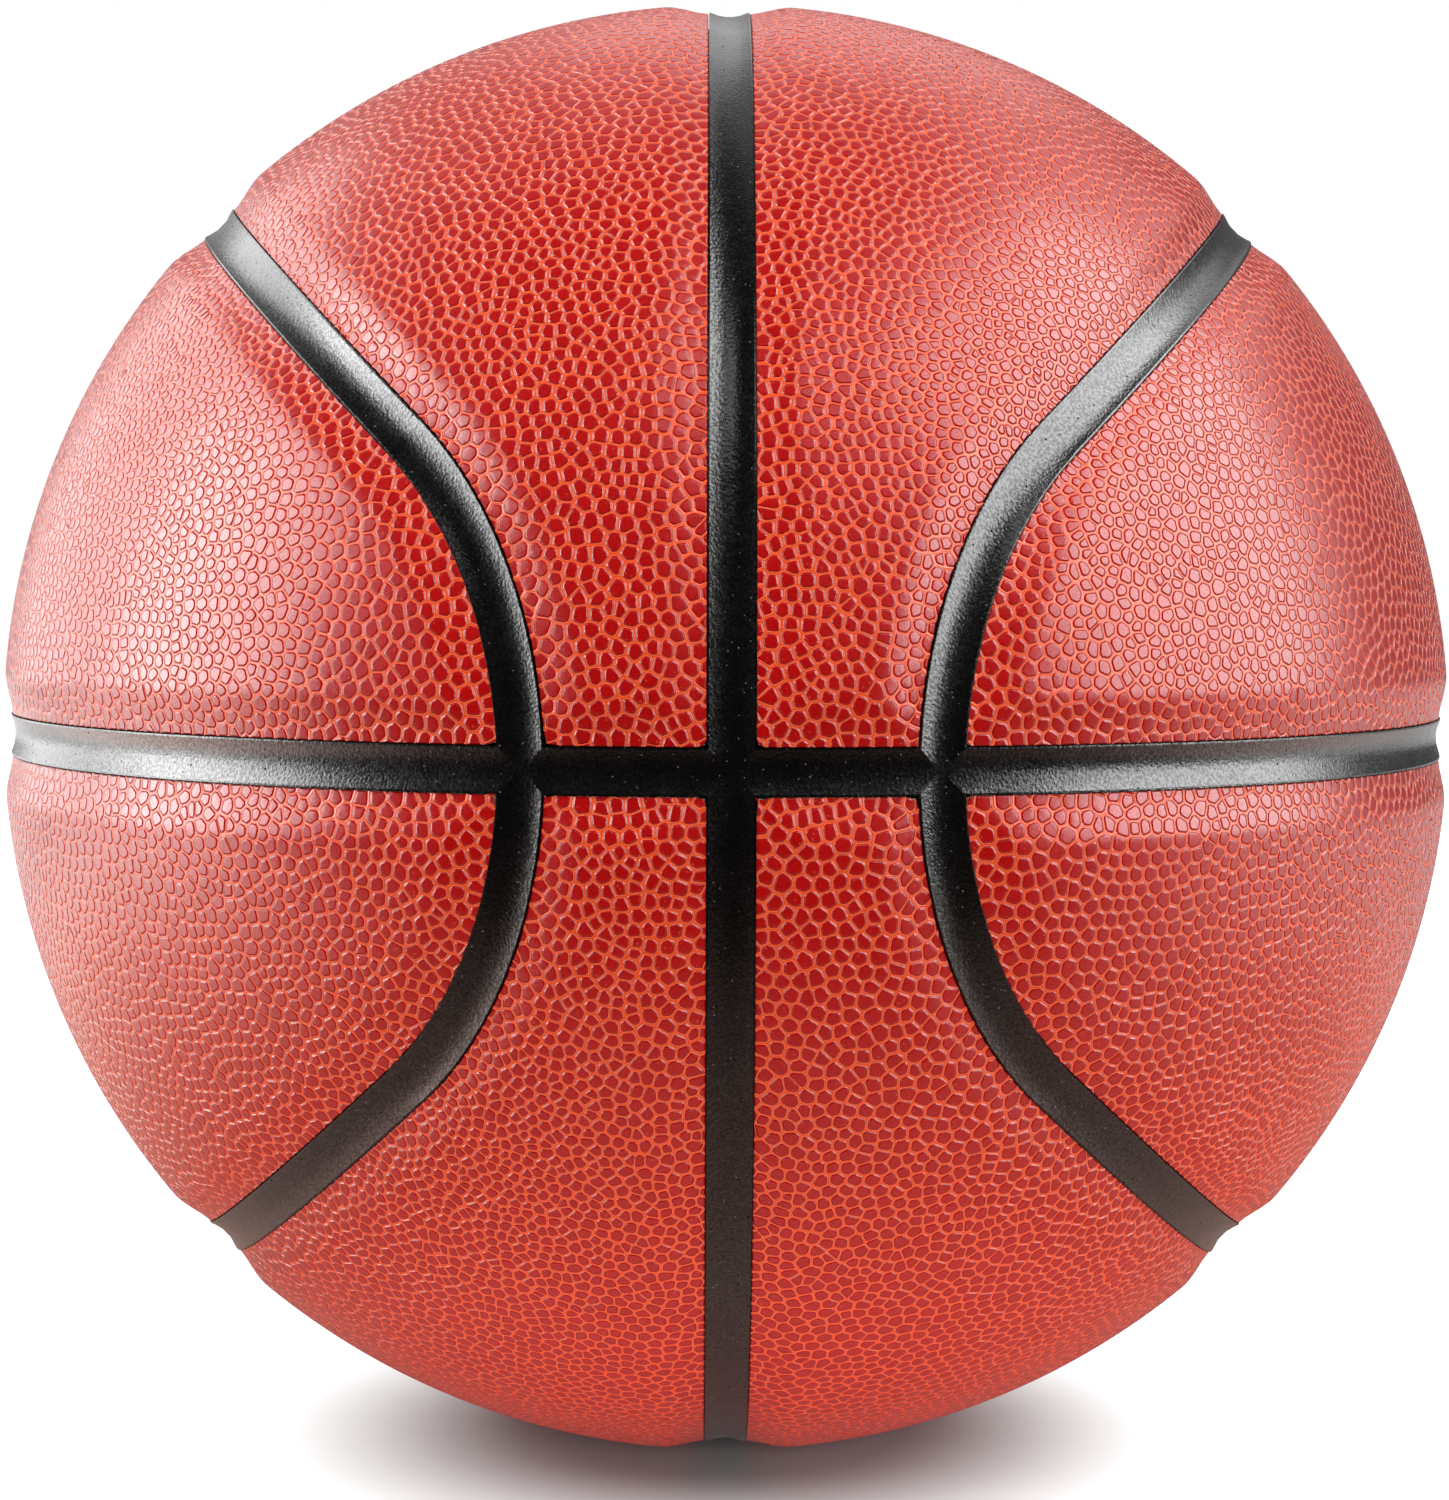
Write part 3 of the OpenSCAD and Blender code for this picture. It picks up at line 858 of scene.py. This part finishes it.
class BALL_OT_inner_layers(bpy.types.Operator):
    """Gives the carcass and the layers under the cover their finishes"""

    bl_idname = "ball.inner_layers"
    bl_label = "Inner layers"

    def execute(self, context):
        paint = colours()
        channel = rubber("channel_rubber", paint.channel, 0.12, 0.8)
        butyl = rubber("butyl", paint.butyl, 0.4, 0.2)
        housing = rubber("housing_rubber", paint.housing, 0.45, 0.2)
        core = rubber("core_rubber", paint.channel, 0.35, 0.4)
        worn = {
            "carcass": channel, "bladder": butyl, "valve_housing": housing, "valve_core": core,
            "thread_winding": wound_nylon(),
        }
        pad = sponge_rubber()
        leather = bpy.data.materials["pebbled_leather"]
        for kind in KINDS:
            worn.update({f"{kind}_pad_{patch}": pad for patch in PATCHES})
            worn.update({f"{kind}_panel_{patch}": leather for patch in PATCHES})
        for node, material in worn.items():
            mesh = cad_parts[node].data
            mesh.materials.clear()
            mesh.materials.append(material)
        return {"FINISHED"}


# Each lamp's name, place, width, height and power in watts, and whether it shows only in the gloss
# (True) or lights only the colour (False)
LAMPS = (
    ("softbox_left", (-1.3, 0.54, 0.42), 1.7, 1.6, 25.5, True),
    ("softbox_side", (-1.5, -0.14, 0.33), 1.0, 1.2, 25.0, True),
    ("softbox_right", (1.3, -0.33, 0.76), 1.5, 1.9, 52.0, True),
    ("softbox_high", (0.95, 0.45, 1.1), 1.1, 0.9, 3.0, True),
    ("softbox_top", (0.1, -0.9, 1.2), 0.5, 0.4, 1.1, True),
    ("fill_top", (-0.2, -0.3, 1.25), 1.0, 1.0, 17.5, False),
    ("fill_front", (0.05, -1.5, 0.1), 1.2, 0.7, 19.0, False),
    ("fill_right", (1.4, 0.1, 0.12), 0.7, 0.4, 3.8, False),
)


class BALL_OT_stage(bpy.types.Operator):
    """Sets the floor, the lamps, the white surround and the camera"""

    bl_idname = "ball.stage"
    bl_label = "Stage"

    def execute(self, context):
        scene, stage = context.scene, context.scene.ball_stage
        plain_start()
        bpy.ops.mesh.primitive_circle_add(
            vertices=96, radius=3, fill_type="NGON", location=(0, 0, stage.floor_at)
        )
        floor = context.object
        floor.name = "floor"
        bpy.ops.object.transform_apply(location=True, rotation=True, scale=True)
        floor.data.materials.append(studio_floor())
        white_surround(scene)
        for name, place, wide, high, watts, gloss_only in LAMPS:
            bpy.ops.object.light_add(type="AREA", location=place)
            lamp = context.object
            lamp.name = name
            lamp.rotation_euler = (-Vector(place)).to_track_quat("-Z", "Y").to_euler()
            lamp.data.shape = "RECTANGLE"
            lamp.data.size, lamp.data.size_y = wide, high
            lamp.data.energy = watts
            lamp.data.cycles.use_multiple_importance_sampling = gloss_only
            lamp.visible_camera = False
            lamp.visible_glossy = gloss_only
            lamp.visible_diffuse = not gloss_only
        place_camera(scene, stage)
        scene.view_settings.view_transform = "Standard"
        return {"FINISHED"}


def studio_floor():
    # Seamless white paper. The camera sees it take the ball's soft shadow, deepened by painted shadow:
    # near the ball, for camera rays only, its colour turns to a darker blue-green grey, and right under
    # the ball to a darker grey near neutral. Away from the ball it is pure white. What it gives back to
    # the ball is set by place, in metres from the middle: light that is warm near the ball, and
    # reflections that are brightest at the left and fade at the back.
    material = bpy.data.materials.new("studio_paper")
    material.use_nodes = True
    tree = material.node_tree
    tree.nodes.clear()
    where = add(tree, "ShaderNodeTexCoord").outputs["Object"]
    ground = add(tree, "ShaderNodeVectorMath", {0: where, 1: (1, 1, 0)}, operation="MULTIPLY")
    length = add(tree, "ShaderNodeVectorMath", {0: ground.outputs[0]}, operation="LENGTH")
    out = length.outputs["Value"]
    across, back, _ = add(tree, "ShaderNodeSeparateXYZ", {0: where}).outputs
    path = add(tree, "ShaderNodeLightPath").outputs
    seen = path["Is Camera Ray"]
    paint = colours()

    # Painted shadow: near the ball, camera rays see the paper in the darker painted-shadow colours
    near = calc(tree, "MULTIPLY", seen, step(tree, out, 0.12, 0.05))
    contact, shadow = list(paint.floor_painted_contact_shadow), list(paint.floor_painted_shadow)
    shaded = blend(tree, step(tree, out, 0.008, 0.035), contact, shadow)
    colour = blend(tree, near, list(paint.floor), shaded)
    tooth = bump(tree, noise(tree, where, 0.4 * MM, 3.0), 0.02 * MM, 0.2)
    paper = add(tree, "ShaderNodeBsdfDiffuse", {"Color": colour, "Normal": tooth}).outputs[0]

    at_left = step(tree, across, -0.08, -0.45, 0.45, 4.0)
    at_right = step(tree, across, 0.08, 0.45, 0.0, 1.2)
    sideways = calc(tree, "ADD", at_left, at_right)
    fading = step(tree, back, 0.0, 0.45, 1.0, 0.3)
    in_gloss = calc(tree, "MULTIPLY_ADD", sideways, fading, step(tree, back, 0.0, 0.3, 0.0, 0.4))
    on_colour = step(tree, across, -0.1, 0.4, 1.3, 1.8)
    given = add(tree, "ShaderNodeMix", {0: path["Is Glossy Ray"], 2: on_colour, 3: in_gloss})
    lit = calc(tree, "MULTIPLY", step(tree, back, -0.32, -0.08), given.outputs[0])
    white = calc(tree, "MAXIMUM", seen, step(tree, out, 0.15, 0.8))
    warm = blend(tree, white, list(paint.floor_lit), (1, 1, 1, 1))
    strength = calc(tree, "MAXIMUM", seen, lit)
    glow = add(tree, "ShaderNodeEmission", {"Color": warm, "Strength": strength}).outputs[0]
    share = add(tree, "ShaderNodeMix", {
        0: seen, 2: step(tree, out, 0.02, 0.12), 3: step(tree, out, 0.03, 0.095),
    }).outputs[0]
    mixed = add(tree, "ShaderNodeMixShader", {0: share, 1: paper, 2: glow}).outputs[0]
    material.cycles.emission_sampling = "NONE"
    add(tree, "ShaderNodeOutputMaterial", {"Surface": mixed})
    return material


def white_surround(scene):
    """A world that is plain white to the camera. To the ball it is dark in front and pale behind,
    more so at the left, with a brighter patch high at the back."""
    world = bpy.data.worlds.new("white_surround")
    scene.world = world
    world.use_nodes = True
    tree = world.node_tree
    tree.nodes.clear()
    world.cycles.sampling_method = "NONE"
    seen = add(tree, "ShaderNodeLightPath").outputs["Is Camera Ray"]
    way = add(tree, "ShaderNodeTexCoord").outputs["Generated"]
    across, back, _ = add(tree, "ShaderNodeSeparateXYZ", {0: way}).outputs
    high_back = (0.1, 0.75, 0.66)
    facing = add(tree, "ShaderNodeVectorMath", {0: way, 1: high_back}, operation="DOT_PRODUCT")
    patch = step(tree, facing.outputs["Value"], 0.94, 0.985)
    pale = step(tree, across, -0.2, 0.4, 0.45, 0.12)
    behind = calc(tree, "MULTIPLY", step(tree, back, 0.0, 0.4), pale)
    given = calc(tree, "ADD", patch, behind)
    strength = add(tree, "ShaderNodeMix", {0: seen, 2: given, 3: 1.0}).outputs[0]
    light = add(tree, "ShaderNodeBackground", {"Color": (1, 1, 1, 1), "Strength": strength})
    add(tree, "ShaderNodeOutputWorld", {"Surface": light.outputs[0]})


# The photograph's longer side, and how far its middle lies off the ball's centre, in its pixels
PHOTO_SIDE = 1500
OFF_CENTRE = (-1.3, -22.8)


def place_camera(scene, stage):
    """Puts the camera at the photograph's viewing angle and distance."""
    a, e = stage.azimuth, stage.elevation
    back = Vector((math.sin(a) * math.cos(e), -math.cos(a) * math.cos(e), math.sin(e)))
    data = bpy.data.cameras.new("camera")
    camera = bpy.data.objects.new("camera", data)
    scene.collection.objects.link(camera)
    camera.location = back * stage.distance
    turn = (-back).to_track_quat("-Z", "Y").to_matrix() @ Matrix.Rotation(stage.roll, 3, "Z")
    camera.rotation_euler = turn.to_euler()
    data.lens = stage.lens
    data.sensor_width = 36
    data.shift_x, data.shift_y = (off / PHOTO_SIDE for off in OFF_CENTRE)
    data.clip_start = 0.01
    scene.camera = camera


class BALL_PT_sidebar(bpy.types.Panel):
    """Lists the ball's operators and sizes"""

    bl_idname = "BALL_PT_sidebar"
    bl_label = "Basketball"
    bl_space_type = "VIEW_3D"
    bl_region_type = "UI"
    bl_category = "Ball"

    def draw(self, context):
        for step_class in STEPS:
            self.layout.operator(step_class.bl_idname)
        for name in GROUPS:
            group = getattr(context.scene, name)
            box = self.layout.box()
            for key in group.bl_rna.properties.keys()[2:]:
                box.prop(group, key)


GROUPS = {
    "ball_sizes": BallSizes,
    "ball_pebbles": PebbleSizes,
    "ball_colours": FinishColours,
    "ball_stage": StageSizes,
}
STEPS = (BALL_OT_cover_panels, BALL_OT_inner_layers, BALL_OT_stage)


def register():
    for made in (*GROUPS.values(), *STEPS, BALL_PT_sidebar):
        bpy.utils.register_class(made)
    for name, group in GROUPS.items():
        setattr(bpy.types.Scene, name, bpy.props.PointerProperty(type=group))


def unregister():
    for name in GROUPS:
        delattr(bpy.types.Scene, name)
    for made in reversed((*GROUPS.values(), *STEPS, BALL_PT_sidebar)):
        bpy.utils.unregister_class(made)


def main():
    register()
    bpy.ops.ball.cover_panels()
    bpy.ops.ball.inner_layers()
    bpy.ops.ball.stage()
    plain_start()


if __name__ == "__main__":
    main()
